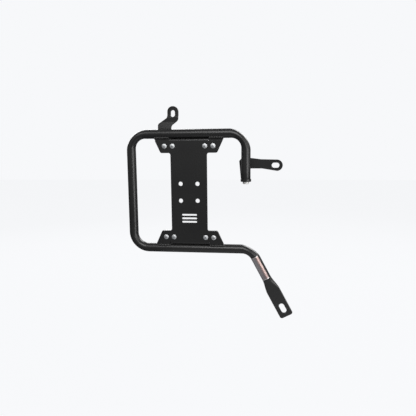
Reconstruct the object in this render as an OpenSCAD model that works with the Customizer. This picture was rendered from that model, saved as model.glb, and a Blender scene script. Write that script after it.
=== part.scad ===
/* [Tube loop] */
// Outside diameter of the tube
tube_d = 18; // [16:0.5:22]
// Wall thickness of the tube
tube_wall = 1.5; // [1:0.25:2.5]
// Radius of every bend, to the middle of the tube
bend_r = 31; // [27:1:38]
// Width of the loop, between the middles of its upright runs
loop_w = 228; // [215:1:280]
// Height of the loop, between the middles of its level runs
loop_h = 228; // [200:1:280]
// How far the middle of the loop lies to the left of the plate's middle
loop_shift = 3; // [0:0.5:8]
// Height of the open stub's lower end above the plate's middle
stub_end = 25.5; // [5:0.5:35]

/* [Leg and foot] */
// Lean of the leg away from upright, in degrees
leg_lean = 28; // [22:0.5:36]
// How far left of the stub's line the bottom run starts to bend into the leg
leg_offset = 8; // [0:0.5:30]
// Length of the leg's round part, from that bend to the start of the flattening
leg_round = 47.5; // [47:0.5:80]
// Length over which the round tube becomes flat
flare_len = 28; // [18:1:45]
// Length of the flat foot after the flattening
foot_len = 59.5; // [45:0.5:90]
// How much thicker the flattened foot is than the tube's two walls
foot_gap = 0.4; // [0.2:0.1:1]
// Rounding of the foot's two corners
foot_corner = 4; // [1:0.5:8]
// Width of the foot's slot
foot_slot_w = 10.7; // [8:0.1:14]
// Length of the foot's slot, end to end
foot_slot_l = 20.8; // [15:0.1:30]
// From the middle of that slot to the end of the foot
foot_slot_edge = 18.3; // [16:0.1:26]

/* [Centre plate] */
// Thickness of the plate and of the tabs behind it
sheet_t = 3; // [2:0.25:4]
// Width of the plate's waist
waist_w = 72; // [60:1:90]
// Gap between the plate's folded lips and the tubes
lip_gap = 0.4; // [0.2:0.1:1.5]
// Depth of the folded lips, from the plate's front face
lip_depth = 10; // [8:0.5:14]
// Inside radius of the folded lips
lip_bend_r = 1; // [0.5:0.25:2]
// Half length of each lip
lip_half = 38.6; // [32:0.1:39]
// Height of each ear, in from the plate's end
ear_h = 27.6; // [24:0.1:34]
// From the outer rivet's middle to the ear's narrow corner
ear_margin = 7.5; // [6:0.5:12]
// How much further out the ear reaches at the tube than at its inner edge
ear_flare = 12.8; // [6:0.2:18]
// Rounding of the plate's corners
plate_corner = 4; // [2:0.5:6]
// Spacing of the four mounting holes, both ways
hole_pitch = 33.5; // [25:0.5:45]
// Diameter of the four mounting holes
hole_d = 8.4; // [6:0.1:11]
// Number of plain slots cut through the plate below the holes
vent_count = 3; // [1:1:4]
// Length of those slots
vent_l = 30; // [16:1:44]
// Height of those slots
vent_w = 3.6; // [2:0.2:5]
// Spacing of those slots
vent_pitch = 7; // [6:0.5:9]
// From the plate's middle down to the middle of that group of slots
vent_drop = 52; // [45:1:58]

/* [Rivets] */
// From the plate's middle line to each inner rivet
rivet_x = 32; // [28:0.5:38]
// Spacing of the two rivets in a corner
rivet_pitch = 16; // [12:0.5:20]
// From the plate's end to the row of rivets
rivet_edge = 14.4; // [12:0.2:16]
// Diameter of the rivet's shank
rivet_d = 4.8; // [4:0.2:6.4]
// Diameter of the rivet's domed head
rivet_head_d = 9.5; // [8:0.1:11]
// Height of that head
rivet_head_h = 1.5; // [1:0.1:2]
// Diameter of the broken pin inside each rivet
rivet_pin_d = 2.7; // [2:0.1:3.2]

/* [Top lug] */
// Thickness of both slotted lugs
lug_t = 4; // [3:0.5:6]
// From the plate's middle line left to the lug's slot
top_slot_x = 32.8; // [20:0.1:45]
// From the middle of the top run up to the lug's slot
top_slot_rise = 39.6; // [36:0.1:55]
// Width of that slot
top_slot_w = 8.6; // [6:0.1:10]
// Height of that slot
top_slot_l = 13.5; // [11:0.1:18]
// Width of the eye around that slot
top_eye_w = 21.6; // [19:0.1:26]
// From the middle of the slot to the top of the eye
top_eye_end = 14.2; // [13:0.1:18]
// Width of the lug where it is welded on
top_base_w = 26.4; // [20:0.2:36]
// How far left of the slot the middle of that base lies
top_base_shift = 16.4; // [0:0.2:20]
// How far behind the tube's middle the lug's front face stands
top_lug_set = 2; // [0:0.5:4]
// How far the lug leans back between its base and its neck
top_lean = 2; // [0:0.25:3]
// How far its eye then steps back
joggle = 2.5; // [0:0.25:4]

/* [Side lug] */
// From the stub's middle to the middle of the lug's slot
side_slot_reach = 57; // [50:0.1:80]
// From the stub's lower end up to the middle of the lug's slot
side_slot_rise = 26.2; // [24:0.1:30]
// Height of that slot
side_slot_w = 10; // [8:0.1:12]
// Length of that slot
side_slot_l = 14.8; // [13:0.1:20]
// Diameter of the eye's round end
side_eye_d = 21.8; // [18:0.1:26]
// From the middle of the slot to the end of the eye
side_eye_end = 13.7; // [12:0.1:18]
// Height of the lug's arm where it leaves the stub
side_arm_h = 20.5; // [16:0.5:24]
// Width of the lug's upright behind the stub, either side of the tube
side_web = 13.5; // [10:0.5:18]
// How deep the tube is seated in the lug
side_seat = 1; // [0.5:0.1:1.5]

/* [Stub end] */
// Diameter of the collar at the stub's end
collar_d = 20.5; // [19.5:0.1:26]
// Height of the collar
collar_h = 5; // [3:0.5:8]
// Diameter of the threaded insert
insert_d = 12; // [10:0.5:13]
// How far the collar's spigot reaches up into the tube
spigot_l = 6; // [4:0.5:10]
// Thickness of the insert's hidden flange, which bears on the end of that spigot
insert_flange_t = 2; // [1:0.5:4]
// How far the insert stands out of the collar
insert_out = 4.5; // [2:0.5:8]
// Diameter of the threaded hole, at the crests of its thread
thread_d = 6.8; // [5:0.1:8]
// Clearance around pieces that are pushed together
fit = 0.05; // [0.02:0.01:0.15]

/* [Welds and label] */
// Radius of the weld beads
bead_r = 2.2; // [1.5:0.1:2.4]
// Thickness of the foil label on the leg
label_t = 0.2; // [0.1:0.05:0.4]
// Length of the label, along the leg
label_l = 46; // [30:1:46]
// Angle that the label wraps round the leg
label_wrap = 177; // [90:1:200]
// Angle from the leg's front to the label's right edge
label_turn = 47; // [20:1:80]

/* [Hidden] */
CORNERS = [["upper_left", -1, 1], ["upper_right", 1, 1], ["lower_left", -1, -1], ["lower_right", 1, -1]];
RIVET_ROWS = [["outer", rivet_x + rivet_pitch], ["inner", rivet_x]];
RIVETS = [for (c = CORNERS) for (r = RIVET_ROWS) [str(c[0], "_", r[0]), c[1] * r[1], c[2]]];
$fn = 96;
black = "#26272a";
silver = "#c4c6c9";
zinc = "#d6d3cf";
foil = "#a89c97";
tiny = 0.01;
// The plate's front face is at Y = 0, the tabs lie behind it, and the tube lies behind the tabs' middle
tab_back = 2 * sheet_t;
tab_setback = 3;
loop_y = tab_back + tab_setback;
tube_r = tube_d / 2;
bore_r = tube_r - tube_wall;
loop_left = -loop_shift - loop_w / 2;
loop_right = -loop_shift + loop_w / 2;
loop_top = loop_h / 2;
leg_turn = 90 - leg_lean;
leg_x = loop_right - leg_offset;
// The leg starts a little inside its bend, and is a hair thinner there so that the two join cleanly
leg_overlap = 0.5;
leg_inset = 0.1;
// Half of the tube's middle circumference lies in each wall of the foot
foot_w = PI * (tube_d - tube_wall) / 2 + tube_wall;
foot_t = 2 * tube_wall + foot_gap;
plate_end = loop_top - tube_r - lip_gap;
lip_outer_r = lip_bend_r + sheet_t;
flat_end = plate_end - lip_outer_r;
relief = 1;
tab_inner = lip_half + 0.4;
ear_inner = tab_inner + relief;
ear_low_x = rivet_x + rivet_pitch + ear_margin;
ear_top_x = ear_low_x + ear_flare;
ear_z = plate_end - ear_h;
ear_slope = ear_flare / ear_h;
rivet_z = plate_end - rivet_edge;
rivet_hole_r = rivet_d / 2 + fit;
// Height at which the tube's surface crosses a plane this far from its middle
function tube_rise(depth) = sqrt(tube_r * tube_r - depth * depth);
bead_y = sheet_t;
bead_z = loop_top - tube_rise(loop_y - sheet_t);
top_lug_y = loop_y + top_lug_set;
top_slot_z = loop_top + top_slot_rise;
side_lug_y = loop_y + tube_r - side_seat;
side_slot_x = loop_right + side_slot_reach;
side_slot_z = stub_end + side_slot_rise;
side_arm_low = side_slot_z - 6.2;
collar_low = stub_end - collar_h;
insert_low = collar_low - insert_out;
insert_seat = insert_out + collar_h + spigot_l;
insert_l = insert_seat + insert_flange_t;

// Points of an outline whose corners [x, y, radius] are rounded
function unit(v) = v / norm(v);
function flat(p) = [p[0], p[1]];
function turned(v, a) = [v[0] * cos(a) - v[1] * sin(a), v[0] * sin(a) + v[1] * cos(a)];
function corner(before, at, after, r) =
    r == 0 ? [flat(at)] :
    let (
        u = unit(flat(before) - flat(at)),
        v = unit(flat(after) - flat(at)),
        half = acos(u * v) / 2,
        middle = flat(at) + unit(u + v) * r / sin(half),
        first = flat(at) + u * r / tan(half) - middle,
        last = flat(at) + v * r / tan(half) - middle,
        way = sign(first[0] * last[1] - first[1] * last[0]),
        steps = max(3, ceil((180 - 2 * half) / 7.5))
    )
    [for (i = [0:steps]) middle + turned(first, way * (180 - 2 * half) * i / steps)];
function rounded(p) =
    let (n = len(p))
    [for (i = [0:n - 1]) each corner(p[(i + n - 1) % n], p[i], p[(i + 1) % n], p[i][2])];
function mirrored(p, x, z) = [for (a = p) [a[0] * x, a[1] * z, a[2]]];
function reversed(p) = [for (i = [len(p) - 1:-1:0]) p[i]];

// Turns a drawing in X and Z into a sheet, with its front face at this depth
module upright_sheet(front, thickness) {
    translate([0, front + thickness, 0])
        rotate([90, 0, 0])
            linear_extrude(thickness)
                children();
}

// A slot with round ends, cut along Y, with its length turned from level
module slot_cut(x, z, length, width, turn, front, back) {
    reach = (length - width) / 2;
    translate([x, back, z])
        rotate([90, turn, 0]) {
            for (s = [-1, 1])
                translate([s * reach, 0, 0])
                    cylinder(d = width, h = back - front);
            translate([-reach, -width / 2, 0])
                cube([2 * reach, width, back - front]);
        }
}

// The tube is drawn in its own flat plane, then stood up behind the plate
module in_loop_plane() {
    translate([0, loop_y, 0])
        rotate([90, 0, 0])
            children();
}

module tube_ring(inset = 0) {
    difference() {
        circle(r = tube_r - inset);
        circle(r = bore_r + inset);
    }
}

module tube_run(x, z, direction, length) {
    translate([x, z, 0])
        rotate([0, 0, direction])
            rotate([0, 90, 0])
                linear_extrude(length)
                    tube_ring();
}

module tube_bend(x, z, from, sweep) {
    translate([x, z, 0])
        rotate([0, 0, from])
            rotate_extrude(angle = sweep)
                translate([bend_r, 0])
                    tube_ring();
}

// Places children on the leg, this far from its bend: Z runs down the leg, X points away from the viewer
module on_leg(distance) {
    translate([leg_x, -loop_top - bend_r, 0])
        rotate([0, 0, -leg_turn])
            translate([0, bend_r, 0])
                rotate([0, 90, 0])
                    translate([0, 0, distance])
                        children();
}

// Part of a cone between two flats that close in on each other: a round tube going flat
module pressed_cone(r1, r2, half_1, half_2) {
    intersection() {
        cylinder(r1 = r1, r2 = r2, h = flare_len);
        translate([0, r2 + 1, 0])
            rotate([90, 0, 0])
                linear_extrude(2 * r2 + 2)
                    polygon([[-half_1, 0], [half_1, 0], [half_2, flare_len], [-half_2, flare_len]]);
    }
}

module flare() {
    difference() {
        pressed_cone(tube_r - leg_inset, foot_w / 2, tube_r, foot_t / 2);
        pressed_cone(bore_r + leg_inset, foot_w / 2 - tube_wall, bore_r, foot_gap / 2);
    }
}

// The flat foot: the same section as the flare's end, a square end with rounded corners, and a slot
module foot() {
    half = foot_w / 2;
    reach = (foot_slot_l - foot_slot_w) / 2;
    outline = [
        [0, -half - 1, 0], [foot_len - foot_corner, -half - 1, 0], [foot_len - foot_corner, -half, 0],
        [foot_len, -half, foot_corner - tiny], [foot_len, half, foot_corner - tiny],
        [foot_len - foot_corner, half, 0], [foot_len - foot_corner, half + 1, 0], [0, half + 1, 0]
    ];
    difference() {
        intersection() {
            cylinder(r = half, h = foot_len);
            translate([-foot_t / 2, 0, 0])
                rotate([0, 90, 0])
                    mirror([1, 0, 0])
                        linear_extrude(foot_t)
                            polygon(rounded(outline));
        }
        for (s = [-1, 1])
            translate([-foot_t, 0, foot_len - foot_slot_edge + s * reach])
                rotate([0, 90, 0])
                    cylinder(d = foot_slot_w, h = 2 * foot_t);
        translate([-foot_t, -foot_slot_w / 2, foot_len - foot_slot_edge - reach])
            cube([2 * foot_t, foot_slot_w, 2 * reach]);
    }
}

// One bent tube: stub, top run, left run, bottom run and leg, pressed flat at its foot
module tube_loop() {
    left = loop_left + bend_r;
    right = loop_right - bend_r;
    level = loop_top - bend_r;
    color(black) in_loop_plane() {
        tube_run(loop_right, stub_end, 90, level - stub_end);
        tube_bend(right, level, 0, 90);
        tube_run(right, loop_top, 180, right - left);
        tube_bend(left, level, 90, 90);
        tube_run(loop_left, level, -90, 2 * level);
        tube_bend(left, -level, 180, 90);
        tube_run(left, -loop_top, 0, leg_x - left);
        tube_bend(leg_x, -loop_top - bend_r, 90, -leg_turn);
        on_leg(-leg_overlap)
            linear_extrude(leg_round + leg_overlap)
                tube_ring(leg_inset);
        on_leg(leg_round)
            flare();
        on_leg(leg_round + flare_len)
            foot();
    }
}

module bend_solid(x, z, from) {
    in_loop_plane()
        translate([x, z, 0])
            rotate([0, 0, from])
                rotate_extrude(angle = 90)
                    translate([bend_r, 0])
                        circle(r = tube_r);
}

// The outside of the top or bottom run and of the bends beside it, to cut what is welded to it
module level_run_solid(side) {
    left = loop_left + bend_r;
    right = side > 0 ? loop_right - bend_r : leg_x;
    translate([left, loop_y, side * loop_top])
        rotate([0, 90, 0])
            cylinder(r = tube_r, h = right - left);
    bend_solid(left, side * (loop_top - bend_r), side > 0 ? 90 : 180);
    if (side > 0)
        bend_solid(right, loop_top - bend_r, 0);
}

module stub_solid() {
    translate([loop_right, loop_y, stub_end])
        cylinder(r = tube_r, h = loop_top - stub_end);
}

// A folded lip: a quarter bend and a flat, seen from the plate's end
module lip(side) {
    profile_depth = lip_depth - lip_outer_r;
    translate([-lip_half, 0, 0])
        rotate([90, 0, 90])
            linear_extrude(2 * lip_half)
                mirror([0, side < 0 ? 1 : 0]) {
                    translate([lip_outer_r, flat_end])
                        intersection() {
                            difference() {
                                circle(r = lip_outer_r);
                                circle(r = lip_bend_r);
                            }
                            translate([-lip_outer_r, 0])
                                square(lip_outer_r);
                        }
                    translate([lip_outer_r, plate_end - sheet_t])
                        square([profile_depth, sheet_t]);
                }
}

// I-shaped sheet with four ears, two folded lips, four mounting holes and plain slots
module centre_plate() {
    quarter = [
        [lip_half, flat_end, 0],
        [lip_half, flat_end - relief, 0],
        [ear_inner, flat_end - relief, 0],
        [ear_inner, plate_end, 0.8],
        [ear_top_x, plate_end, 1],
        [ear_low_x, ear_z, plate_corner],
        [waist_w / 2, ear_z, plate_corner]
    ];
    outline = concat(
        quarter,
        reversed(mirrored(quarter, 1, -1)),
        mirrored(quarter, -1, -1),
        reversed(mirrored(quarter, -1, 1))
    );
    vent_middle = (vent_count - 1) / 2;
    color(black) difference() {
        union() {
            upright_sheet(0, sheet_t)
                polygon(rounded(outline));
            for (side = [-1, 1])
                lip(side);
        }
        for (x = [-1, 1], z = [-1, 1])
            translate([x * hole_pitch / 2, sheet_t + 1, z * hole_pitch / 2])
                rotate([90, 0, 0])
                    cylinder(d = hole_d, h = sheet_t + 2);
        for (i = [0:vent_count - 1])
            slot_cut(0, -vent_drop + (i - vent_middle) * vent_pitch, vent_l, vent_w, 0, -1, sheet_t + 1);
        for (c = CORNERS, r = RIVET_ROWS)
            rivet_hole(c[1] * r[1], c[2]);
    }
}

module rivet_hole(x, side) {
    translate([x, tab_back + 1, side * rivet_z])
        rotate([90, 0, 0])
            cylinder(r = rivet_hole_r, h = tab_back + 2);
}

// The tab's outline for the upper right corner, carried on past the tube's surface
module tab_outline() {
    over = loop_top - plate_end;
    polygon(rounded([
        [rivet_x - 6, ear_z, 3],
        [rivet_x - 6, flat_end - 1.5, 3],
        [tab_inner, flat_end - 1.5, 0],
        [tab_inner, plate_end + over, 0],
        [ear_top_x + over * ear_slope, plate_end + over, 0],
        [ear_low_x, ear_z, plate_corner]
    ]));
}

// A corner tab: riveted behind the plate's ear, its foot cut to the tube and welded on
module tab(x, side) {
    color(black) difference() {
        upright_sheet(sheet_t, sheet_t)
            mirror([x < 0 ? 1 : 0, 0])
                mirror([0, side < 0 ? 1 : 0])
                    tab_outline();
        level_run_solid(side);
        for (r = RIVET_ROWS)
            rivet_hole(x * r[1], side);
    }
}

// Turns a piece that is drawn along +Z so that it points out of the plate's front face
module out_of_plate(x, side) {
    translate([x, 0, side * rivet_z])
        rotate([90, 0, 0])
            children();
}

rivet_bore_r = rivet_pin_d / 2 + fit;
rivet_tail_r = rivet_d * 0.78;
rivet_tail_l = 4.4;
rivet_rim = 0.4;
pin_recess = 0.35;

// Blind rivet: domed head, shank through plate and tab, and a bulged tail behind
module rivet(x, side) {
    rise = rivet_head_h - rivet_rim;
    dome_r = (pow(rivet_head_d / 2, 2) + pow(rise, 2)) / (2 * rise);
    low = -tab_back - rivet_tail_l;
    color(silver) out_of_plate(x, side)
        difference() {
            union() {
                intersection() {
                    translate([0, 0, rivet_head_h - dome_r])
                        sphere(r = dome_r);
                    cylinder(d = rivet_head_d, h = rivet_head_h);
                }
                translate([0, 0, low + 1])
                    cylinder(d = rivet_d, h = rivet_head_h / 2 - low - 1);
                rotate_extrude()
                    polygon([
                        [0, -tab_back],
                        [rivet_tail_r * 0.8, -tab_back],
                        [rivet_tail_r, -tab_back - rivet_tail_l * 0.25],
                        [rivet_tail_r * 0.9, -tab_back - rivet_tail_l * 0.6],
                        [rivet_d * 0.5, low],
                        [0, low]
                    ]);
            }
            translate([0, 0, low - 1])
                cylinder(r = rivet_bore_r, h = rivet_head_h - low + 2);
        }
}

// The pin that set the rivet, broken off inside the head and trapped by its own head behind
module rivet_pin(x, side) {
    low = -tab_back - rivet_tail_l;
    head_r = rivet_d * 0.42;
    color(silver) out_of_plate(x, side)
        rotate_extrude()
            polygon([
                [0, low - 1.8],
                [head_r * 0.6, low - 1.8],
                [head_r, low - 1],
                [head_r, low],
                [rivet_pin_d / 2, low],
                [rivet_pin_d / 2, rivet_head_h - pin_recess - 0.3],
                [rivet_pin_d / 2 - 0.4, rivet_head_h - pin_recess],
                [0, rivet_head_h - pin_recess]
            ]);
}

// How far the top lug's front face stands back at a place along it: a short smooth step
joggle_l = 5;
function step_back(at, start) =
    let (t = min(max((at - start) / joggle_l, 0), 1))
    joggle * (1 - cos(180 * t)) / 2;

// The edge-on outline of that lug: the depth and place of each bend below its joggle, then the joggle
function lug_profile(bends, high, start, steps = 10) =
    let (
        front = bends[len(bends) - 1][0],
        step = [for (i = [0:steps]) let (s = start + joggle_l * i / steps) [front + step_back(s, start), s]],
        face = concat(bends, step, [[front + joggle, high]]),
        back = [for (i = [len(face) - 1:-1:0]) face[i] + [lug_t, 0]]
    )
    concat(face, back);

// Slotted lug on the top run: leans left and forward to its base, steps back at its eye
module top_lug() {
    left = -top_slot_x - top_eye_w / 2;
    right = -top_slot_x + top_eye_w / 2;
    base = -top_slot_x - top_base_shift;
    end = top_slot_z + top_eye_end;
    round_end = top_eye_w / 2 - 0.4;
    outline = [
        [base - top_base_w / 2, loop_top, 0],
        [base - top_base_w / 2, loop_top + 19.3, 6],
        [left, top_slot_z - 7.8, 6],
        [left, end, round_end],
        [right, end, round_end],
        [right, top_slot_z - 13, 8],
        [base + top_base_w / 2, loop_top + 15.6, 8],
        [base + top_base_w / 2, loop_top, 0]
    ];
    start = top_slot_z - top_slot_l / 2 - 0.5;
    bends = [
        [top_lug_y, loop_top],
        [top_lug_y, loop_top + tube_r],
        [top_lug_y + top_lean, start - 9]
    ];
    back = top_lug_y + top_lean + joggle + lug_t + 1;
    color(black) difference() {
        intersection() {
            upright_sheet(top_lug_y - 1, back - top_lug_y + 1)
                polygon(rounded(outline));
            translate([base - top_base_w, 0, 0])
                rotate([90, 0, 90])
                    linear_extrude(2 * top_base_w + top_base_shift + top_eye_w)
                        polygon(lug_profile(bends, end + 1, start));
        }
        level_run_solid(1);
        slot_cut(-top_slot_x, top_slot_z, top_slot_l, top_slot_w, 90, top_lug_y - 1, back);
    }
}

// Slotted lug behind the stub: an upright web on the tube and an arm with an eye
module side_lug() {
    eye_r = side_eye_d / 2;
    eye_end = side_slot_x + side_eye_end;
    eye_low = side_slot_z - eye_r;
    eye_high = side_slot_z + eye_r;
    arm_top = side_arm_low + side_arm_h;
    web_left = loop_right - side_web;
    web_right = loop_right + side_web / 2;
    outline = [
        [web_left + 3.1, stub_end, 1],
        [web_left, arm_top - 5.5, 3],
        [web_left + 5, arm_top, 3],
        [loop_right + tube_r, arm_top, 0],
        [loop_right + 29, arm_top - 2.6, 20],
        [eye_end - eye_r, eye_high, 0],
        [eye_end, eye_high, eye_r - tiny],
        [eye_end, eye_low, eye_r - tiny],
        [eye_end - eye_r, eye_low, 0],
        [loop_right + 31, side_arm_low, 20],
        [web_right, side_arm_low, 3],
        [web_right, stub_end, 1]
    ];
    color(black) difference() {
        upright_sheet(side_lug_y, lug_t)
            polygon(rounded(outline));
        stub_solid();
        slot_cut(side_slot_x, side_slot_z, side_slot_l, side_slot_w, 0, side_lug_y - 1, side_lug_y + lug_t + 1);
    }
}

// Turned ring welded to the stub's end, with a spigot up into the tube
module end_collar() {
    color(black) translate([loop_right, loop_y, collar_low])
        rotate_extrude()
            polygon([
                [insert_d / 2 + fit, 0],
                [collar_d / 2 - 0.6, 0],
                [collar_d / 2, 0.6],
                [collar_d / 2, collar_h],
                [bore_r - fit, collar_h],
                [bore_r - fit, collar_h + spigot_l],
                [insert_d / 2 + fit, collar_h + spigot_l]
            ]);
}

// Threaded insert, put down through the collar until its flange bears on the spigot
module threaded_insert() {
    outer = insert_d / 2;
    inner = thread_d / 2;
    flange_r = bore_r - 0.3;
    color(zinc) translate([loop_right, loop_y, insert_low])
        rotate_extrude()
            polygon([
                [inner + 0.7, 0],
                [outer - 0.7, 0],
                [outer, 0.7],
                [outer, insert_seat],
                [flange_r, insert_seat],
                [flange_r, insert_l],
                [inner + 0.7, insert_l],
                [inner, insert_l - 0.7],
                [inner, 0.7]
            ]);
}

// Bare foil label, wrapped round the front of the leg
module foil_label() {
    color(foil) in_loop_plane()
        on_leg(leg_round - label_l)
            rotate([0, 0, 180 - label_turn])
                rotate_extrude(angle = label_wrap)
                    translate([tube_r, 0])
                        square([label_t, label_l]);
}

// A weld bead along +Z with blunt ends
module bead(length) {
    rotate_extrude()
        polygon([
            [0, 0],
            [bead_r * 0.55, 0],
            [bead_r * 0.9, bead_r * 0.35],
            [bead_r, bead_r * 0.9],
            [bead_r, length - bead_r * 0.9],
            [bead_r * 0.9, length - bead_r * 0.35],
            [bead_r * 0.55, length],
            [0, length]
        ]);
}

// Fillet weld along the front of a tab's foot
module weld_tab(x, side) {
    reach = ear_top_x + (bead_z - plate_end) * ear_slope - tab_inner;
    color(black) difference() {
        translate([x * tab_inner, bead_y, side * bead_z])
            rotate([0, x * 90, 0])
                bead(reach);
        level_run_solid(side);
        translate([x > 0 ? 0 : -loop_w, sheet_t, side > 0 ? 0 : -loop_top])
            cube([loop_w, sheet_t, loop_top]);
    }
}

// Fillet weld along the front of the top lug's base
module weld_top_lug() {
    base = -top_slot_x - top_base_shift;
    color(black) difference() {
        translate([base - top_base_w / 2, top_lug_y, loop_top + tube_rise(top_lug_set)])
            rotate([0, 90, 0])
                bead(top_base_w);
        level_run_solid(1);
        translate([base - top_base_w, top_lug_y, loop_top])
            cube([2 * top_base_w, lug_t, 2 * tube_d]);
    }
}

// Fillet welds between the stub and the lug behind it, one each side
module weld_side_lug(side) {
    seat_x = tube_rise(tube_r - side_seat);
    length = side > 0 ? side_arm_h : side_arm_low + side_arm_h - stub_end - 8;
    low = side > 0 ? side_arm_low : stub_end + 3;
    color(black) difference() {
        translate([loop_right + side * seat_x, side_lug_y, low])
            bead(length);
        stub_solid();
        translate([loop_right - side_web - 2, side_lug_y, 0])
            cube([3 * side_web, lug_t, loop_top]);
    }
}

tube_loop();
centre_plate();
for (c = CORNERS) {
    tab(c[1], c[2]);
    weld_tab(c[1], c[2]);
}
for (r = RIVETS) {
    rivet(r[1], r[2]);
    rivet_pin(r[1], r[2]);
}
top_lug();
side_lug();
end_collar();
threaded_insert();
foil_label();
weld_top_lug();
weld_side_lug(-1);  // weld_side_lug_left
weld_side_lug(1);  // weld_side_lug_right
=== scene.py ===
# %% [markdown]
# # A pannier frame, dressed for its photograph
#
# The real object is a luggage carrier frame for one side of a motorcycle. It is one bent steel tube,
# pressed flat at its foot, with a sheet plate riveted to four welded tabs and two slotted lugs. All
# the steel is powder coated satin black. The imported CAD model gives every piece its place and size.
# This lesson keeps the sheet metal, sweeps a better tube, lays real weld beads, and gives each
# surface the finish that it has on the real frame.

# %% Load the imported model
import math

import bpy
from mathutils import Matrix, Vector


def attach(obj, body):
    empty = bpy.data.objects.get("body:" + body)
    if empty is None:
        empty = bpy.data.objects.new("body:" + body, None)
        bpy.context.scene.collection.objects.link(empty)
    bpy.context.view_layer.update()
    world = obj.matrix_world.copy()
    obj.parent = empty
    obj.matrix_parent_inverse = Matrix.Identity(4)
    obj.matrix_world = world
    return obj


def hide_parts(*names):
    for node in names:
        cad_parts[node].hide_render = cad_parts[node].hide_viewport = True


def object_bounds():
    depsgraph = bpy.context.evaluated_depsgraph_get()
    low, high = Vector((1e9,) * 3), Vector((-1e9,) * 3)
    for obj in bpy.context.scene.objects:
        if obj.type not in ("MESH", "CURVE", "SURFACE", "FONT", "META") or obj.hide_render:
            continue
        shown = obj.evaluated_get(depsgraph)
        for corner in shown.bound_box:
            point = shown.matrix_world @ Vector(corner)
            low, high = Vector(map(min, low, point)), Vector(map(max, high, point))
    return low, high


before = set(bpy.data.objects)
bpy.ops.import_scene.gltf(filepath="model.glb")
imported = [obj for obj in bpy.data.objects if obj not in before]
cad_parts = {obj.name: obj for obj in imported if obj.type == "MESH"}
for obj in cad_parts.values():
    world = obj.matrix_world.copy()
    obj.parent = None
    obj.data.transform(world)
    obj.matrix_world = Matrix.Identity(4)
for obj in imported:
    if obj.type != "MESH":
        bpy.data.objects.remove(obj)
scene = bpy.context.scene
cad_low, cad_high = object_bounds()
MIDDLE = (cad_low + cad_high) / 2
MM = 0.001


def in_mm(place):
    """A place in metres as a short list in millimetres, for printing."""
    return [round(v / MM, 1) for v in place]


print("CAD box, mm:", in_mm(cad_low), in_mm(cad_high))

# %% [markdown]
# ## Camera
#
# The frame stands upright and is seen nearly square on, a little from the right and from above. A
# camera can be placed by eye, but here its place comes from lines and corners of known size, such as
# the rivets and the ends of the plate, so that every piece lands where the photograph shows it.

# %% The camera
CAMERA_AT = Vector((0.15728, -0.86429, 0.09618))
VIEW_AXIS = Vector((-0.13607, 0.98018, -0.14399)).normalized()
UP_HINT = Vector((-0.00948, 0.14405, 0.98953))
FRAME_PX = 416
FOCAL_PX = 448.5
SENSOR_MM = 36.0

lens = bpy.data.cameras.new("camera")
lens.sensor_fit = "HORIZONTAL"
lens.sensor_width = SENSOR_MM
lens.lens = FOCAL_PX / FRAME_PX * SENSOR_MM
camera = bpy.data.objects.new("camera", lens)
scene.collection.objects.link(camera)
sideways = VIEW_AXIS.cross(UP_HINT).normalized()
upwards = sideways.cross(VIEW_AXIS).normalized()
turn = Matrix((sideways, upwards, -VIEW_AXIS)).transposed().to_4x4()
camera.matrix_world = Matrix.Translation(CAMERA_AT) @ turn
scene.camera = camera
print("lens, mm:", round(lens.lens, 2))

# %% [markdown]
# ## Small helpers
#
# Colours are written as a paint chart gives them, in sRGB hex, while shaders want linear light. A
# material is a small network of nodes. One function adds a node, sets it and wires it up, and a few
# short ones on top of it give the steps that every recipe here repeats.

# %% Helpers for colours and nodes
def linear(code):
    """A colour written as #rrggbb, as linear red, green, blue and alpha."""
    channels = [int(code[i:i + 2], 16) / 255 for i in (1, 3, 5)]
    light = [c / 12.92 if c <= 0.04045 else ((c + 0.055) / 1.055) ** 2.4 for c in channels]
    return (*light, 1.0)


def add_node(tree, kind, inputs=None, **settings):
    """Add a node, set its properties and inputs. An input may be a value or another node's output."""
    node = tree.nodes.new(kind)
    for name, value in settings.items():
        setattr(node, name, value)
    for name, value in (inputs or {}).items():
        socket = node.inputs[name]
        if isinstance(value, bpy.types.NodeSocket):
            tree.links.new(value, socket)
        else:
            socket.default_value = value
    return node


def new_material(name):
    """An empty material and its node tree."""
    material = bpy.data.materials.new(name)
    material.use_nodes = True
    material.node_tree.nodes.clear()
    print("material", name)
    return material, material.node_tree


# %% Helpers for the steps of a recipe
def maths(tree, operation, *values):
    """One sum."""
    return add_node(tree, "ShaderNodeMath", dict(enumerate(values)), operation=operation).outputs[0]


def spread(tree, value, low, high, to_low=0.0, to_high=1.0):
    """Stretch the span from low to high over the span from to_low to to_high."""
    return add_node(tree, "ShaderNodeMapRange", {
        "Value": value, "From Min": low, "From Max": high, "To Min": to_low, "To Max": to_high,
    }).outputs["Result"]


def blend(tree, factor, first, second):
    """The first colour where factor is 0, the second where it is 1."""
    inputs = {"Factor": factor, "A": first, "B": second}
    return add_node(tree, "ShaderNodeMix", inputs, data_type="RGBA").outputs["Result"]


def noise(tree, place, size_mm, detail, roughness=0.5):
    """Noise whose features are about size_mm across."""
    return add_node(tree, "ShaderNodeTexNoise", {
        "Vector": place, "Scale": 1 / (size_mm * MM), "Detail": detail, "Roughness": roughness,
    }).outputs["Fac"]


def bump(tree, height, strength, depth_mm, **under):
    """Dents up to depth_mm deep, on top of another bump if Normal is given."""
    inputs = {"Height": height, "Strength": strength, "Distance": depth_mm * MM, **under}
    return add_node(tree, "ShaderNodeBump", inputs).outputs["Normal"]


def close_recipe(tree, inputs):
    """End a material with one Principled shader."""
    shader = add_node(tree, "ShaderNodeBsdfPrincipled", inputs)
    add_node(tree, "ShaderNodeOutputMaterial", {"Surface": shader.outputs[0]})


# Noise keeps near its middle, so gloss is spread over this part of its span.
NOISE_LOW, NOISE_HIGH = 0.3, 0.7

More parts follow.
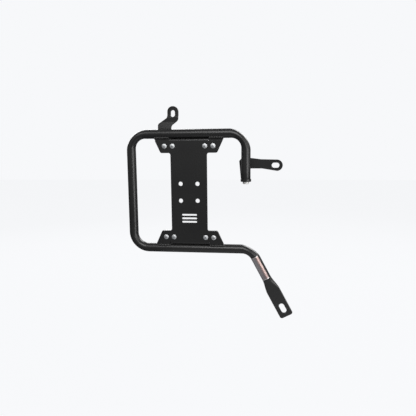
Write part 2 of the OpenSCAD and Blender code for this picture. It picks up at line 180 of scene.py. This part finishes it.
# %% [markdown]
# ## Backdrop and light
#
# The photograph was cut out on a nearly white ground. The world shows that pale colour to the camera
# only, and gives the object a much softer light, because black paint looks grey when everything
# round it is bright. What makes a black tube look round is the reflection of the lamps. A large bank
# high in front draws the long highlight along the level runs, and a wide one on the right the softer
# one along the upright runs. Small boxes fill in between them, two at the back show the frame's other
# side, and a weak glow from below stands for the light that a table would throw back at the foot.

# %% The world
BACKDROP = "#f7f8fa"
AMBIENT = 0.22
GLOSSY_EXTRA = 0.06

world = bpy.data.worlds.new("pale_studio")
scene.world = world
world.use_nodes = True
sky = world.node_tree
sky.nodes.clear()
rays = add_node(sky, "ShaderNodeLightPath").outputs
mirrored = maths(sky, "MAXIMUM", rays["Is Glossy Ray"], rays["Is Transmission Ray"])
dimmed = maths(sky, "MULTIPLY_ADD", mirrored, GLOSSY_EXTRA, AMBIENT)
strength = maths(sky, "MAXIMUM", dimmed, rays["Is Camera Ray"])
ground = add_node(sky, "ShaderNodeBackground", {"Color": linear(BACKDROP), "Strength": strength})
add_node(sky, "ShaderNodeOutputWorld", {"Surface": ground.outputs[0]})
scene.view_settings.view_transform = "Standard"
print("backdrop:", BACKDROP, "ambient:", AMBIENT)

# %% The lamps
# Name, degrees to the right of the front, degrees up, distance and side length in metres, watts.
SOFTBOXES = [
    ("top_bank", 6, 38, 2.4, 1.4, 27.5),
    ("right_bank", 70, 20, 2.6, 2.4, 22),
    ("right_near", 50, -5, 1.2, 0.5, 3.0),
    ("front_right", 30, 8, 2.4, 0.7, 5),
    ("left_high", -35, 35, 2.4, 0.7, 5),
    ("left_fill", -40, 15, 2.6, 2.4, 1.5),
    ("rear_right", 150, 35, 2.6, 1.6, 50),
    ("rear_left", -150, 25, 2.6, 1.6, 40),
    ("table_glow", 28, -47, 0.35, 0.5, 0.23),
]


def add_softbox(name, turn_right, lift, distance, size, watts):
    """A square area lamp that faces the frame's middle."""
    data = bpy.data.lights.new(name, "AREA")
    data.shape = "SQUARE"
    data.size = size
    data.energy = watts
    lamp = bpy.data.objects.new(name, data)
    scene.collection.objects.link(lamp)
    across, high = math.radians(turn_right), math.radians(lift)
    level = math.cos(high)
    towards = Vector((math.sin(across) * level, -math.cos(across) * level, math.sin(high)))
    lamp.location = MIDDLE + towards * distance
    lamp.rotation_euler = towards.to_track_quat("Z", "Y").to_euler()
    print("softbox", name, "at", [round(v, 2) for v in lamp.location])
    return lamp


lamps = {row[0]: add_softbox(*row) for row in SOFTBOXES}
lamps["table_glow"].rotation_euler = (math.pi, 0, 0)
lamps["table_glow"].visible_camera = False

# %% [markdown]
# ## Floor
#
# The frame hangs clear of the ground, as it does on its vehicle. The floor lies below it in the
# backdrop's own colour. What the camera sees is mostly that plain colour, with a share of real
# shading left in so that the floor keeps the frame's soft shadow.

# %% The floor
FLOOR_Z = cad_low.z - 0.30
FLOOR_SIZE = 14.0
SHADOW_SHARE = 0.03
FLOOR_BOUNCE = "#5c5d60"

bpy.ops.object.select_all(action="DESELECT")
bpy.ops.mesh.primitive_plane_add(size=FLOOR_SIZE, location=(MIDDLE.x, MIDDLE.y, FLOOR_Z))
floor = bpy.context.object
floor.name = "floor"
bpy.ops.object.transform_apply(location=True, rotation=True, scale=True)
floor_paint, tree = new_material("backdrop_paper")
seen = add_node(tree, "ShaderNodeLightPath").outputs["Is Camera Ray"]
plain = add_node(tree, "ShaderNodeEmission", {"Color": linear(BACKDROP), "Strength": 1.0})
paper = blend(tree, seen, linear(FLOOR_BOUNCE), linear(BACKDROP))
lit = add_node(tree, "ShaderNodeBsdfDiffuse", {"Color": paper})
share = maths(tree, "MULTIPLY", seen, 1.0 - SHADOW_SHARE)
mixed = add_node(tree, "ShaderNodeMixShader", {0: share, 1: lit.outputs[0], 2: plain.outputs[0]})
add_node(tree, "ShaderNodeOutputMaterial", {"Surface": mixed.outputs[0]})
floor.data.materials.append(floor_paint)
print("floor at", round(FLOOR_Z, 3))

# %% [markdown]
# ## Powder coat
#
# Powder coat is a polyester powder that is sprayed on dry and melted in an oven. It flows into a
# thick, tough, satin film. The eye gets an even black with a broad, soft-edged highlight, which a
# faint orange peel breaks up. Its dimples are about a millimetre across, with a fine grain on top.
# Both go into bump, and a slow change in gloss goes into roughness. The black itself hardly varies.

# %% The powder coat
BLACK, BLACK_LIGHT = "#202020", "#252525"
DRIFT_MM = 60
PEEL_MM, PEEL_STRENGTH, PEEL_DEPTH_MM = 1.4, 0.12, 0.1
GRAIN_MM, GRAIN_STRENGTH, GRAIN_DEPTH_MM = 0.35, 0.10, 0.03

powder, tree = new_material("powder_coat_satin_black")
place = add_node(tree, "ShaderNodeTexCoord").outputs["Object"]
drift = noise(tree, place, DRIFT_MM, 3.0)
peel = bump(tree, noise(tree, place, PEEL_MM, 2.0), PEEL_STRENGTH, PEEL_DEPTH_MM)
grain = bump(tree, noise(tree, place, GRAIN_MM, 2.0, 0.6), GRAIN_STRENGTH, GRAIN_DEPTH_MM, Normal=peel)
close_recipe(tree, {
    "Base Color": blend(tree, drift, linear(BLACK), linear(BLACK_LIGHT)),
    "Roughness": spread(tree, drift, NOISE_LOW, NOISE_HIGH, 0.25, 0.29),
    "IOR": 1.5, "Specular IOR Level": 0.43, "Normal": grain,
})

# %% [markdown]
# ## Metals
#
# The rivets are soft aluminium, pulled tight and left bare, so the eye gets dull silver-grey domes
# that are faintly scuffed. The pins inside them are steel, darker and rougher where they snapped
# when the rivet was set. The insert at the stub's end is zinc plated steel. Its near-white colour is
# partly painted reflection: it is only partly metallic, and its white diffuse share stands in for the
# pale backdrop that the plating mirrors.

# %% The metals
def bare_metal(name, low, high, rough_low, rough_high, mark_mm, scuff, metallic=1.0):
    """A bare metal whose colour and gloss wander a little, in marks about mark_mm across."""
    metal, tree = new_material(name)
    place = add_node(tree, "ShaderNodeTexCoord").outputs["Object"]
    marks = noise(tree, place, mark_mm, 3.0, 0.6)
    close_recipe(tree, {
        "Base Color": blend(tree, marks, linear(low), linear(high)), "Metallic": metallic,
        "Roughness": spread(tree, marks, NOISE_LOW, NOISE_HIGH, rough_low, rough_high),
        "Normal": bump(tree, marks, scuff, 0.05),
    })
    return metal


aluminium = bare_metal("aluminium_dull_as_set", "#b6b8ba", "#d8dadb", 0.42, 0.58, 0.8, 0.3)
pin_steel = bare_metal("steel_snapped", "#8f9092", "#b4b5b7", 0.35, 0.55, 0.4, 0.6)
# The insert's near-white diffuse share is painted reflection of the pale backdrop.
zinc = bare_metal("zinc_plate_painted_reflection", "#e6e5e2", "#f6f5f2", 0.34, 0.48, 1.2, 0.15, metallic=0.35)

# %% [markdown]
# ## Foil
#
# A foil label is wrapped round the front of the leg. It is a thin metallised film, silver-grey in its
# own colour. The change across the leg, from a paler silver on the left to copper on the right, is
# painted sheen: it stands in for the colour shift that the foil shows where the right-hand lamps catch
# it. The colour is also a little darker towards the foot, with a paler margin at both ends. Its colour
# follows the place across the leg, so the recipe first turns the coordinates to lie along the leg.

# %% The foil
LEG_LEAN = math.radians(28)
LEG_AXIS_X, LEG_AXIS_Z = 130.37 * MM, -130.45 * MM
LABEL_HALF_W = 9.2 * MM
LABEL_L = 50 * MM
LABEL_START = -2.5 * MM
MARGIN, MARGIN_BLUR = 1.3 * MM, 0.2 * MM
MARGIN_COLOUR = "#c4bfbe"
LOWER_COLOUR, LOWER_SHARE = "#6f6267", 0.45
WRINKLE_MM = 2.5
# The stops across the leg are painted sheen: silver on the left, copper where the right-hand lamps catch
# the foil.
FOIL_PAINTED_SHEEN_STOPS = [
    (0.0, "#bab9bb"), (0.28, "#a39fa1"), (0.47, "#958f92"),
    (0.55, "#a18b86"), (0.80, "#ab9691"), (1.0, "#8f7a75"),
]

foil, tree = new_material("foil_film_with_painted_copper_sheen")
place = add_node(tree, "ShaderNodeTexCoord").outputs["Object"]
sine, cosine = math.sin(LEG_LEAN), math.cos(LEG_LEAN)
across_0 = LEG_AXIS_X * cosine + LEG_AXIS_Z * sine
along_0 = -LEG_AXIS_X * sine + LEG_AXIS_Z * cosine
turned = add_node(tree, "ShaderNodeMapping", {
    "Vector": place, "Rotation": (0, LEG_LEAN, 0), "Location": (-across_0, 0, -along_0),
})
parts = add_node(tree, "ShaderNodeSeparateXYZ", {"Vector": turned.outputs["Vector"]}).outputs
across = spread(tree, parts["X"], -LABEL_HALF_W, LABEL_HALF_W)
# This ramp paints the foil's sheen into its colour, by the place across the leg.
painted_sheen_ramp = add_node(tree, "ShaderNodeValToRGB", {"Fac": across})
stops = painted_sheen_ramp.color_ramp.elements
stops[0].position, stops[1].position = 0.0, 1.0
for spot, _ in FOIL_PAINTED_SHEEN_STOPS[1:-1]:
    stops.new(spot)
for stop, (spot, code) in zip(stops, FOIL_PAINTED_SHEEN_STOPS):
    stop.position, stop.color = spot, linear(code)

# %% The foil's ends and gloss
from_middle = maths(tree, "ADD", parts["Z"], LABEL_START + LABEL_L / 2)
far = maths(tree, "ABSOLUTE", from_middle)
margin = spread(tree, far, LABEL_L / 2 - MARGIN - MARGIN_BLUR, LABEL_L / 2 - MARGIN)
lower = spread(tree, from_middle, 0.0, -LABEL_L / 2, 0.0, LOWER_SHARE)
shaded = blend(tree, lower, painted_sheen_ramp.outputs["Color"], linear(LOWER_COLOUR))
wrinkle = noise(tree, place, WRINKLE_MM, 3.0)
close_recipe(tree, {
    "Base Color": blend(tree, margin, shaded, linear(MARGIN_COLOUR)), "Metallic": 0.8,
    "Roughness": spread(tree, wrinkle, NOISE_LOW, NOISE_HIGH, 0.34, 0.42),
    "Normal": bump(tree, wrinkle, 0.12, 0.05),
})
print("foil stops:", len(stops))

# %% [markdown]
# ## Finish the CAD pieces
#
# A piece whose shape is already right keeps its CAD mesh. Each gets its real material here.

# %% Materials for the kept pieces
for name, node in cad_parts.items():
    if name.startswith("rivet_pin"):
        finish = pin_steel
    elif name.startswith("rivet"):
        finish = aluminium
    elif name == "threaded_insert":
        finish = zinc
    elif name == "foil_label":
        finish = foil
    else:
        finish = powder
    node.data.materials.clear()
    node.data.materials.append(finish)
print("dressed", len(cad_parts), "nodes")

# %% [markdown]
# ## Sheet metal
#
# The two upper ears of the plate end level with its fold, so that a strip of each welded tab shows
# above them. A pair of boxes, which the camera never sees, cuts them back to that line. Sheet metal
# is never razor sharp once it is coated, so its edges are also rounded by about a third of a
# millimetre: loose triangles are welded, the flat ones are merged, and the corners are bevelled.

# %% A cutter for the upper ears
EAR_IN, EAR_OUT = 39.2 * MM, 70.0 * MM
EAR_FRONT, EAR_BACK = -1.0 * MM, 3.5 * MM
EAR_TOP, EAR_PAST = 100.6 * MM, 106.0 * MM

EAR_BOX = (EAR_OUT - EAR_IN, EAR_BACK - EAR_FRONT, EAR_PAST - EAR_TOP)
ear_x, ear_y, ear_z = (EAR_IN + EAR_OUT) / 2, (EAR_FRONT + EAR_BACK) / 2, (EAR_TOP + EAR_PAST) / 2
boxes = []
for side in (-1, 1):
    bpy.ops.object.select_all(action="DESELECT")
    bpy.ops.mesh.primitive_cube_add(size=1, location=(side * ear_x, ear_y, ear_z))
    boxes.append(bpy.context.object)
    boxes[-1].scale = EAR_BOX
    bpy.ops.object.transform_apply(location=True, rotation=True, scale=True)
for box in boxes:
    box.select_set(True)
bpy.ops.object.join()
ear_cutter = bpy.context.object
ear_cutter.name = "ear_cutter"
ear_cutter.hide_render = True
print("ear cutter faces:", len(ear_cutter.data.polygons))

# %% Rounded edges for the sheet metal
EDGE = 0.35 * MM
WELD_WITHIN = 0.002 * MM
FLAT_ANGLE, EDGE_ANGLE = math.radians(0.4), math.radians(35)


def round_edges(node, cutter=None):
    """Weld, cut away, merge the flats, then bevel whatever still meets at more than EDGE_ANGLE."""
    weld = node.modifiers.new("weld", "WELD")
    weld.merge_threshold = WELD_WITHIN
    if cutter:
        cut = node.modifiers.new("ears", "BOOLEAN")
        cut.operation = "DIFFERENCE"
        cut.solver = "EXACT"
        cut.object = cutter
    flats = node.modifiers.new("flats", "DECIMATE")
    flats.decimate_type = "DISSOLVE"
    flats.angle_limit = FLAT_ANGLE
    edge = node.modifiers.new("edge", "BEVEL")
    edge.width = EDGE
    edge.segments = 2
    edge.limit_method = "ANGLE"
    edge.angle_limit = EDGE_ANGLE
    edge.use_clamp_overlap = True
    shading = node.modifiers.new("shading", "WEIGHTED_NORMAL")
    shading.keep_sharp = True


sheet_nodes = ["top_lug", "side_lug"] + [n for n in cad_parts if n.startswith("tab_")]
round_edges(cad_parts["centre_plate"], ear_cutter)
for name in sheet_nodes:
    round_edges(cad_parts[name])
print("rounded", len(sheet_nodes) + 1, "nodes")

# %% [markdown]
# ## The bent tube
#
# The frame is one piece of 18 mm steel tube, drawn round a former at four places. It could be a curve
# with a round profile, but then every ring of it would be the same. A tube that is bent this tightly
# goes slightly oval, because its outer wall sinks towards the middle of the bend. So one ring of
# points is extruded along the straight runs and spun round the bends, in the order in which the real
# tube was bent, and the rings in the bends are then pressed oval.

# %% The tube's sizes
TUBE_R = 9.0 * MM
WALL = 1.5 * MM
BEND_R = 31.0 * MM
LOOP_Y = 9.0 * MM
LOOP_LEFT, LOOP_RIGHT = -117.0 * MM, 111.0 * MM
LOOP_TOP, LOOP_BOTTOM = 114.0 * MM, -114.0 * MM
STUB_END = 25.5 * MM
LEG_X = 103.0 * MM
LEG_ROUND, FLARE, FOOT = 47.5 * MM, 28.0 * MM, 59.5 * MM
RING_POINTS = 64
BEND_STEPS, LONG_STEPS, SHORT_STEPS = 24, 8, 4
QUARTER = math.radians(90)
SMOOTH_ANGLE = math.radians(40)
SLACK = 0.05 * MM  # how far from its ring's plane a point may lie and still be found

UP, TO_RIGHT, TO_BACK = Vector((0, 0, 1)), Vector((1, 0, 0)), Vector((0, 1, 0))
DOWN_LEG = Vector((math.sin(LEG_LEAN), 0, -math.cos(LEG_LEAN)))
ACROSS_LEG = Vector((math.cos(LEG_LEAN), 0, math.sin(LEG_LEAN)))
LEG_BEND_Z = LOOP_BOTTOM - BEND_R
leg_start = Vector((LEG_X, LOOP_Y, LEG_BEND_Z)) + ACROSS_LEG * BEND_R
print("leg starts at, mm:", in_mm(leg_start))


# %% Helpers for edit mode
def select_points(piece, wanted):
    """Leave only the points whose place wanted() says yes to selected, and go to edit mode."""
    bpy.ops.object.mode_set(mode="OBJECT")
    for edge in piece.data.edges:
        edge.select = False
    for face in piece.data.polygons:
        face.select = False
    for point in piece.data.vertices:
        point.select = wanted(point.co)
    bpy.ops.object.mode_set(mode="EDIT")


def run(direction, length, steps):
    """Carry the selected ring along a straight stretch."""
    for _ in range(steps):
        bpy.ops.mesh.extrude_edges_move(TRANSFORM_OT_translate={"value": direction * (length / steps)})


def bend(x, z, angle, steps=BEND_STEPS):
    """Carry the selected ring round a former whose middle is at x, z."""
    bpy.ops.mesh.spin(steps=steps, angle=angle, center=(x, LOOP_Y, z), axis=(0, 1, 0))


def squeeze(first, second, axes, about):
    """Resize what is selected along the first two of the axes, with the point about staying put."""
    bpy.ops.transform.resize(
        value=(first, second, 1), orient_type="GLOBAL", orient_matrix=axes,
        orient_matrix_type="GLOBAL", constraint_axis=(True, True, False), center_override=about)


# %% Sweep one ring round the loop
bpy.ops.object.select_all(action="DESELECT")
bpy.ops.mesh.primitive_circle_add(
    vertices=RING_POINTS, radius=TUBE_R, location=(LOOP_RIGHT, LOOP_Y, STUB_END),
    rotation=(0, 0, math.pi / RING_POINTS))
tube = bpy.context.object
tube.name = "bent_tube"
bpy.ops.object.transform_apply(location=True, rotation=True, scale=True)
bpy.ops.object.mode_set(mode="EDIT")
bpy.ops.mesh.select_all(action="SELECT")
left, right = LOOP_LEFT + BEND_R, LOOP_RIGHT - BEND_R
top, bottom = LOOP_TOP - BEND_R, LOOP_BOTTOM + BEND_R
run(UP, top - STUB_END, SHORT_STEPS)
bend(right, top, QUARTER)
run(-TO_RIGHT, right - left, LONG_STEPS)
bend(left, top, QUARTER)
run(-UP, top - bottom, LONG_STEPS)
bend(left, bottom, QUARTER)
run(TO_RIGHT, LEG_X - left, LONG_STEPS)
bend(LEG_X, LEG_BEND_Z, LEG_LEAN - QUARTER)
run(DOWN_LEG, LEG_ROUND, SHORT_STEPS)
bpy.ops.object.mode_set(mode="OBJECT")
print("rings so far:", len(tube.data.vertices) // RING_POINTS)

# %% Press the bends oval
# Each row is a bend's middle, the angles between which it turns, how flat its middle becomes, and how
# far inside the tube's own middle the point lies that stays put.
BENDS = [
    (right, top, 0, 90, 0.84, 2 * MM),
    (left, top, 90, 180, 0.86, 0),
    (left, bottom, 180, 270, 0.94, 0),
    (LEG_X, LEG_BEND_Z, math.degrees(LEG_LEAN), 90, 0.87, 8 * MM),
]
WIDEN = 0.3  # the share of the squeeze that comes back as width
FIND_R = TUBE_R * 1.05


def press_ring(x, z, degrees, flatter, inside):
    """Squeeze one ring of a bend towards the former, and let it widen a little the other way."""
    outwards = Vector((math.cos(math.radians(degrees)), 0, math.sin(math.radians(degrees))))
    middle = Vector((x, LOOP_Y, z)) + outwards * BEND_R
    along = outwards.cross(TO_BACK)
    axes = Matrix((outwards, TO_BACK, along)).transposed()
    select_points(tube, lambda p: (p - middle).length < FIND_R and abs((p - middle).dot(along)) < SLACK)
    squeeze(flatter, 1 + (1 - flatter) * WIDEN, axes, middle - outwards * inside)


for x, z, first, last, flattest, inside in BENDS:
    for step in range(1, BEND_STEPS):
        share = step / BEND_STEPS
        flatter = 1 - (1 - flattest) * math.sin(math.pi * share)
        press_ring(x, z, first + (last - first) * share, flatter, inside)
bpy.ops.object.mode_set(mode="OBJECT")
print("pressed", len(BENDS), "bends oval")

# %% [markdown]
# ## The pressed foot
#
# The leg's end is the same tube, closed flat in a press. Its section goes from a circle, through an
# oval, to two flats with small round sides. A plain plate would miss that the metal runs on, so each
# new ring is shaped in halves: the right and the left half are squeezed, and then moved apart by the
# flat that lies between them.

# %% Shape one ring of the leg
FOOT_HALF_W = 13.709 * MM
FOOT_HALF_T = 1.7 * MM
FOOT_CORNER = 4.0 * MM
FLARE_STEPS, FOOT_STEPS, CORNER_STEPS = 16, 3, 6
leg_axes = Matrix((ACROSS_LEG, TO_BACK, DOWN_LEG)).transposed()


def in_half(middle, side):
    """A test for the points of one half of the ring round middle, or of both halves at side 0."""
    def chosen(p):
        away = p - middle
        in_plane = abs(away.dot(DOWN_LEG)) < SLACK and away.length < 2 * TUBE_R
        return in_plane and away.dot(ACROSS_LEG) * side >= 0
    return chosen


def add_ring(middle, distance, old, new):
    """Extrude the ring round middle down the leg, and turn its (flat, reach, depth) from old into new."""
    select_points(tube, in_half(middle, 0))
    run(DOWN_LEG, distance, 1)
    middle = middle + DOWN_LEG * distance
    for side in (-1, 1) if new != old else ():
        select_points(tube, in_half(middle, side))
        bpy.ops.transform.translate(value=ACROSS_LEG * (-side * old[0]))
        squeeze(new[1] / old[1], new[2] / old[2], leg_axes, middle)
        bpy.ops.transform.translate(value=ACROSS_LEG * (side * new[0]))
    return middle


def flare_section(share):
    """Half flat, reach of the round side beyond it, and half depth, part of the way down the flare."""
    eased = share - 0.35 * math.sin(2 * math.pi * share) / (2 * math.pi)
    width = TUBE_R + (FOOT_HALF_W - TUBE_R) * eased
    depth = FOOT_HALF_T + (TUBE_R - FOOT_HALF_T) * (1 - share) ** 1.5
    flat = (width - depth) * share ** 1.3
    return flat, width - flat, depth


# %% Press the leg flat
leg_end = leg_start + DOWN_LEG * LEG_ROUND
section = (0.0, TUBE_R, TUBE_R)
for step in range(1, FLARE_STEPS + 1):
    new_section = flare_section(step / FLARE_STEPS)
    leg_end = add_ring(leg_end, FLARE / FLARE_STEPS, section, new_section)
    section = new_section
for _ in range(FOOT_STEPS):
    leg_end = add_ring(leg_end, (FOOT - FOOT_CORNER) / FOOT_STEPS, section, section)
full, gone = section, 0.0
for step in range(1, CORNER_STEPS + 1):
    angle = QUARTER * step / CORNER_STEPS
    new_section = (full[0] - FOOT_CORNER * (1 - math.cos(angle)), full[1], full[2])
    leg_end = add_ring(leg_end, FOOT_CORNER * math.sin(angle) - gone, section, new_section)
    section, gone = new_section, FOOT_CORNER * math.sin(angle)
bpy.ops.object.mode_set(mode="OBJECT")
print("foot ends at, mm:", in_mm(leg_end))

# %% Give the tube its wall
bpy.ops.object.mode_set(mode="EDIT")
bpy.ops.mesh.select_all(action="SELECT")
bpy.ops.mesh.remove_doubles(threshold=0.001 * MM)
bpy.ops.mesh.normals_make_consistent(inside=False)
bpy.ops.object.mode_set(mode="OBJECT")
wall = tube.modifiers.new("wall", "SOLIDIFY")
wall.thickness = WALL
wall.offset = -1
wall.use_even_offset = True
bpy.ops.object.modifier_apply(modifier="wall")
print("faces with a wall:", len(tube.data.polygons))

# %% Punch the slot
# The punch is a flat rectangle with rounded corners, drawn out to go through the foot. Its corners
# are rounded by just under half its width, so that its ends come out round.
SLOT_W, SLOT_L, SLOT_FROM_END = 10.7 * MM, 20.8 * MM, 18.3 * MM
PUNCH_FRONT, PUNCH_REACH = -4.0 * MM, 8.0 * MM
ROUND_SHARE = 0.499

bpy.ops.object.select_all(action="DESELECT")
bpy.ops.mesh.primitive_plane_add(size=1, location=(0, PUNCH_FRONT, 0), rotation=(QUARTER, 0, 0))
punch = bpy.context.object
punch.scale = (SLOT_W, SLOT_L, 1)
bpy.ops.object.transform_apply(location=True, rotation=True, scale=True)
bpy.ops.object.mode_set(mode="EDIT")
bpy.ops.mesh.select_all(action="SELECT")
bpy.ops.mesh.bevel(offset=SLOT_W * ROUND_SHARE, segments=12, affect="VERTICES")
bpy.ops.mesh.select_all(action="SELECT")
bpy.ops.mesh.extrude_region_move(TRANSFORM_OT_translate={"value": TO_BACK * PUNCH_REACH})
bpy.ops.mesh.select_all(action="SELECT")
bpy.ops.mesh.normals_make_consistent(inside=False)
bpy.ops.object.mode_set(mode="OBJECT")
punch.rotation_euler = (0, -LEG_LEAN, 0)
punch.location = leg_end - DOWN_LEG * SLOT_FROM_END
bpy.ops.object.select_all(action="DESELECT")
bpy.context.view_layer.objects.active = tube
tube.select_set(True)
cut = tube.modifiers.new("slot", "BOOLEAN")
cut.operation = "DIFFERENCE"
cut.solver = "EXACT"
cut.object = punch
bpy.ops.object.modifier_apply(modifier="slot")
bpy.data.objects.remove(punch)
print("faces with the slot:", len(tube.data.polygons))

# %% Soften the cut ends and finish the tube
soft_ends = tube.modifiers.new("ends", "BEVEL")
soft_ends.width = EDGE
soft_ends.segments = 2
soft_ends.limit_method = "ANGLE"
soft_ends.angle_limit = math.radians(60)
soft_ends.use_clamp_overlap = True
bpy.ops.object.modifier_apply(modifier="ends")
bpy.ops.object.shade_smooth_by_angle(angle=SMOOTH_ANGLE)
tube.data.materials.append(powder)
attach(tube, "root")
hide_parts("tube_loop")
print("tube faces:", len(tube.data.polygons))

# %% [markdown]
# ## The foil label
#
# The label goes half round the leg and its upper end runs a little way into the bend. A flat strip
# could be wrapped with a modifier, but an arc of the tube's own ring, carried up the leg and round the
# start of the bend, follows the metal exactly.

# %% Wrap the label
FOIL_R = TUBE_R + 0.08 * MM
FOIL_T = 0.12 * MM
FOIL_FROM, FOIL_TO = 50, 227
FOIL_RUN_STEPS, FOIL_BEND_STEPS = 12, 4
foil_low = leg_start + DOWN_LEG * LEG_ROUND


def off_label(p):
    """Is this point of the ring outside the arc that the label covers, counted from the right side?"""
    away = p - foil_low
    degrees = math.degrees(math.atan2(-away.y, away.dot(ACROSS_LEG))) % 360
    return not FOIL_FROM <= degrees <= FOIL_TO


bpy.ops.object.select_all(action="DESELECT")
bpy.ops.mesh.primitive_circle_add(
    vertices=2 * RING_POINTS, radius=FOIL_R, location=foil_low, rotation=(0, -LEG_LEAN, 0))
wrap = bpy.context.object
wrap.name = "foil_wrap"
bpy.ops.object.transform_apply(location=True, rotation=True, scale=True)
select_points(wrap, off_label)
bpy.ops.mesh.delete(type="VERT")
bpy.ops.mesh.select_all(action="SELECT")
run(-DOWN_LEG, LEG_ROUND, FOIL_RUN_STEPS)
bend(LEG_X, LEG_BEND_Z, -LABEL_START / BEND_R, FOIL_BEND_STEPS)
bpy.ops.mesh.select_all(action="SELECT")
bpy.ops.mesh.normals_make_consistent(inside=False)
bpy.ops.object.mode_set(mode="OBJECT")
film = wrap.modifiers.new("film", "SOLIDIFY")
film.thickness = FOIL_T
film.offset = 1
bpy.ops.object.modifier_apply(modifier="film")
bpy.ops.object.shade_smooth_by_angle(angle=SMOOTH_ANGLE)
wrap.data.materials.append(foil)
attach(wrap, "root")
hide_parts("foil_label")
print("label faces:", len(wrap.data.polygons))

# %% [markdown]
# ## Weld beads
#
# The tabs and lugs are joined to the tube with short weld beads. A bead is a row of small puddles,
# each of which froze over the edge of the one before it, and that gives it its ripples. One puddle is
# modelled, copied along the seam and grown together with the rest of the row by a fine remesh.

# %% One puddle
BEAD_R = 3.0 * MM
PUDDLE_STEP = 3.3 * MM

bpy.ops.object.select_all(action="DESELECT")
bpy.ops.mesh.primitive_uv_sphere_add(segments=24, ring_count=12, radius=BEAD_R, location=(0, 0, 0))
puddle = bpy.context.object
puddle.name = "puddle"
bpy.ops.object.mode_set(mode="EDIT")
bpy.ops.mesh.select_all(action="SELECT")
bpy.ops.transform.resize(value=(1, 1, 0.8), center_override=(0, 0, 0))
select_points(puddle, lambda p: p.z > 0.3 * BEAD_R)
bpy.ops.transform.resize(value=(0.9, 0.9, 1), center_override=(0, 0, 0))
bpy.ops.object.mode_set(mode="OBJECT")
print("puddle points:", len(puddle.data.vertices))

# %% Grow a row of puddles into a bead
END_REACH, END_SIZE = 0.8, 0.86  # of a full puddle, at both ends of a bead
MEAN_SIZE, SIZE_WANDER, WANDER_TURN = 0.95, 0.05, 2.4
VOXEL = 0.3 * MM


def lay_bead(name, node, start, end, size=1.0):
    """Lay a bead from start to end, in mm, in place of the CAD node."""
    start, end = Vector(start) * MM, Vector(end) * MM
    reach = END_REACH * BEAD_R * size
    along = (end - start).normalized()
    length = (end - start).length - 2 * reach
    count = round(length / (PUDDLE_STEP * size))
    lie = along.to_track_quat("Z", "Y").to_matrix().to_4x4()
    row = []
    for i in range(count + 1):
        drop = puddle.copy()
        drop.data = puddle.data.copy()
        scene.collection.objects.link(drop)
        wander = MEAN_SIZE + SIZE_WANDER * math.sin(WANDER_TURN * i)
        grow = size * (END_SIZE if i in (0, count) else 1.0) * wander
        spot = start + along * (reach + length * i / count)
        drop.data.transform(Matrix.Translation(spot) @ lie @ Matrix.Scale(grow, 4))
        row.append(drop)
    bpy.ops.object.select_all(action="DESELECT")
    for drop in row:
        drop.select_set(True)
    bpy.context.view_layer.objects.active = row[0]
    bpy.ops.object.join()
    bead = bpy.context.object
    bead.name = name
    grown = bead.modifiers.new("grown", "REMESH")
    grown.mode = "VOXEL"
    grown.voxel_size = VOXEL
    bpy.ops.object.modifier_apply(modifier="grown")
    soft = bead.modifiers.new("soft", "SMOOTH")
    soft.iterations = 3
    bpy.ops.object.modifier_apply(modifier="soft")
    bpy.ops.object.shade_smooth()
    bead.data.materials.clear()
    bead.data.materials.append(powder)
    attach(bead, "root")
    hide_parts(node)
    print(name, "puddles:", count + 1, "faces:", len(bead.data.polygons))


# %% Lay the beads
LUG_BEAD = 0.75
TAB_BEAD_X, TAB_BEAD_Y, TAB_BEAD_Z = (39.0, 69.4), 2.4, 106.6
LUG_LEFT_X, LUG_RIGHT_X, LUG_SEAM_Y = 106.88, 115.12, 17.0
CORNERS = [("upper_left", -1, 1), ("upper_right", 1, 1), ("lower_left", -1, -1), ("lower_right", 1, -1)]

for corner, side, high in CORNERS:
    ends = [(side * x, TAB_BEAD_Y, high * TAB_BEAD_Z) for x in TAB_BEAD_X]
    lay_bead("bead_tab_" + corner, "weld_tab_" + corner, *ends)
lay_bead("bead_top_lug", "weld_top_lug", (-62.2, 11.0, 122.77), (-36.2, 11.0, 122.77), LUG_BEAD)
lay_bead("bead_side_lug_left", "weld_side_lug_left",
         (LUG_LEFT_X, LUG_SEAM_Y, 28.7), (LUG_LEFT_X, LUG_SEAM_Y, 60.8), LUG_BEAD)
lay_bead("bead_side_lug_right", "weld_side_lug_right",
         (LUG_RIGHT_X, LUG_SEAM_Y, 45.7), (LUG_RIGHT_X, LUG_SEAM_Y, 65.8), LUG_BEAD)
bpy.data.objects.remove(puddle)

# %% [markdown]
# ## The seam under the top run
#
# The plate's folded edge ends a hair's breadth under the tube. A narrow bar lies behind the fold and
# closes that gap, as the coat does where it runs into a crevice. Left open, the gap would show as a
# bright line right through the frame.

# %% The coated seam
SEAM_HALF_L = 43.5 * MM
SEAM_LOW, SEAM_HIGH = 103.4 * MM, 107.0 * MM
SEAM_BACK, SEAM_DEPTH = 15.0 * MM, 2.0 * MM

seam_y, seam_z = SEAM_BACK - SEAM_DEPTH / 2, (SEAM_LOW + SEAM_HIGH) / 2
bpy.ops.object.select_all(action="DESELECT")
bpy.ops.mesh.primitive_cube_add(size=1, location=(0, seam_y, seam_z))
seam = bpy.context.object
seam.name = "coated_seam"
seam.scale = (2 * SEAM_HALF_L, SEAM_DEPTH, SEAM_HIGH - SEAM_LOW)
bpy.ops.object.transform_apply(location=True, rotation=True, scale=True)
bpy.ops.object.mode_set(mode="EDIT")
bpy.ops.mesh.select_all(action="SELECT")
bpy.ops.mesh.bevel(offset=0.3 * MM, segments=3, affect="EDGES")
bpy.ops.object.mode_set(mode="OBJECT")
bpy.ops.object.shade_smooth_by_angle(angle=math.radians(50))
seam.data.materials.append(powder)
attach(seam, "root")
print("seam faces:", len(seam.data.polygons))
